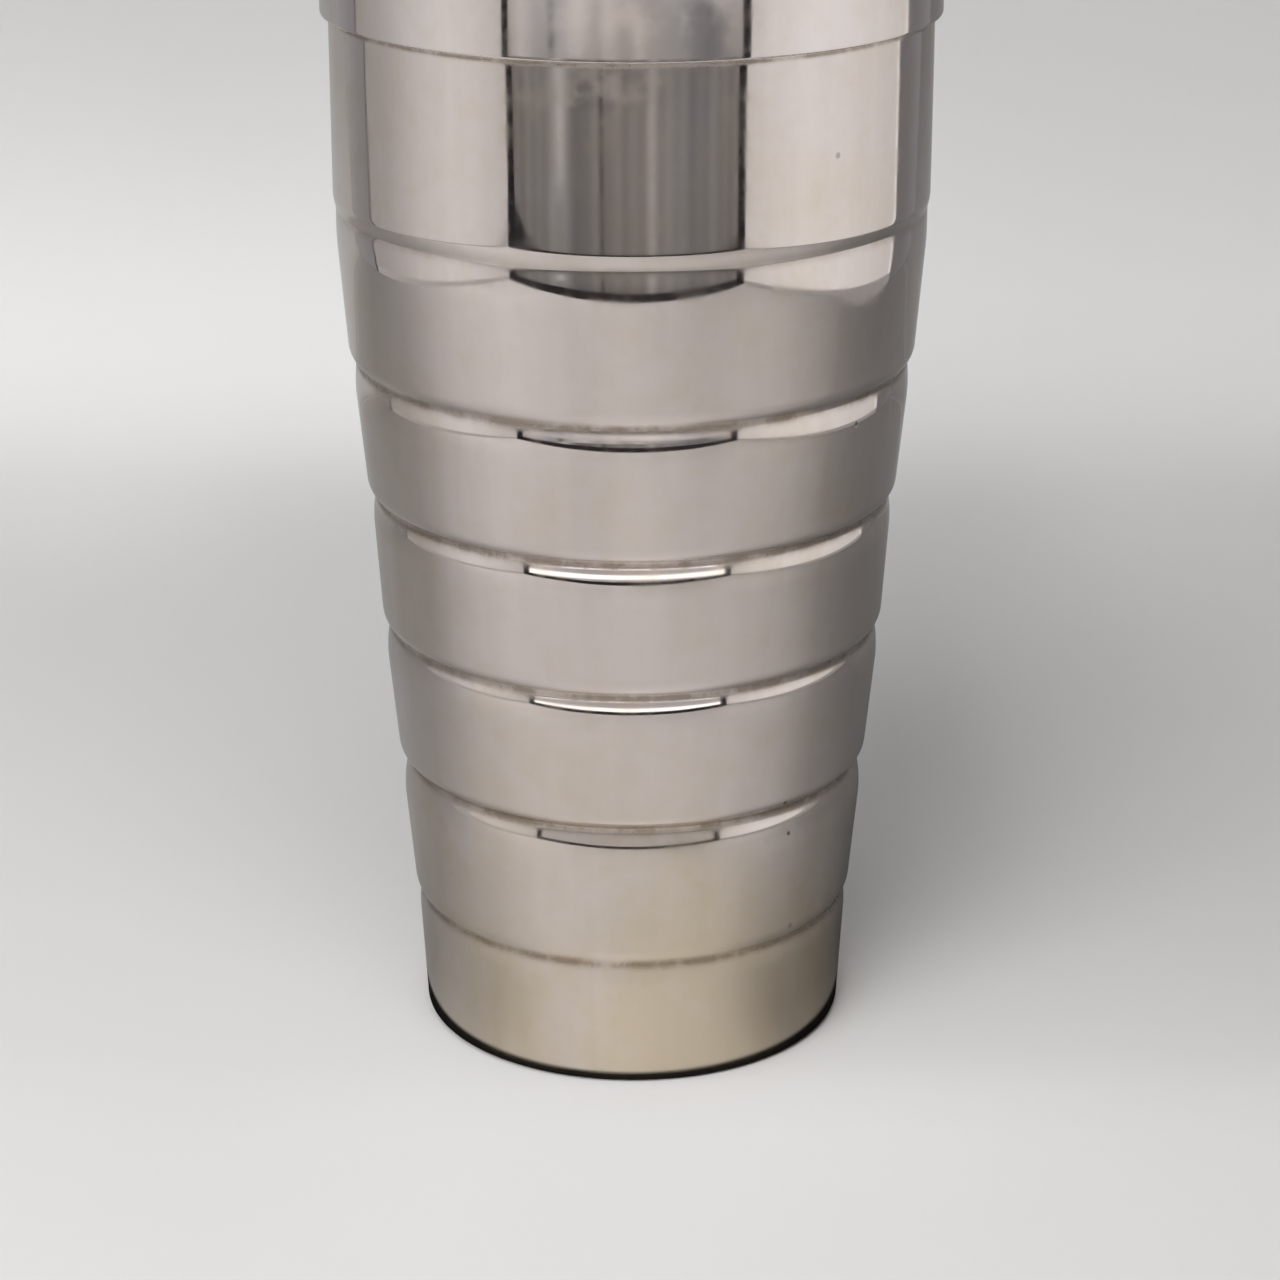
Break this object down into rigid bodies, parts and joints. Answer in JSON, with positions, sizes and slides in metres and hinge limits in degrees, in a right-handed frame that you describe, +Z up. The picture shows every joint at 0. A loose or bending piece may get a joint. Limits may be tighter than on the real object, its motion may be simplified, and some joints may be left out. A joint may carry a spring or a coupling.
{
  "type": "cocktail shaker",
  "caption": "Tapered metal cocktail shaker with rolled grooves, a push-on strainer lid and a push-on cap.",
  "frame": {"origin": "centre of the foot, on the plane the shaker stands on", "axes": "+Z up along the shaker's turning axis, from the foot to the cap; X and Y are any two directions across it"},
  "size_m": [0.09, 0.09, 0.2295],
  "materials": {
    "body_metal": "polished sheet metal with light tarnish, browner in the grooves and towards the foot",
    "lid_metal": "polished sheet metal with light tarnish",
    "neck_metal": "polished sheet metal with push-fit rub marks",
    "inner_metal": "spun satin metal",
    "strainer_metal": "satin perforated sheet",
    "cork": "fine-grained pressed cork"
  },
  "bodies": {
    "tumbler": {"tumbler_shell": "body_metal", "tumbler_base": "inner_metal"},
    "lid": {"lid_shell": "lid_metal", "lid_inner_collar": "inner_metal", "pouring_neck": "neck_metal", "strainer_disc": "strainer_metal"},
    "cap": {"cap_shell": "lid_metal", "cap_cork_liner": "cork"}
  },
  "joints": [
    {"name": "lid_lift", "type": "slide", "parent": "tumbler", "child": "lid", "axis": [0, 0, 1], "range_m": [0, 0.1]},
    {"name": "cap_lift", "type": "slide", "parent": "lid", "child": "cap", "axis": [0, 0, 1], "range_m": [0, 0.06]}
  ]
}
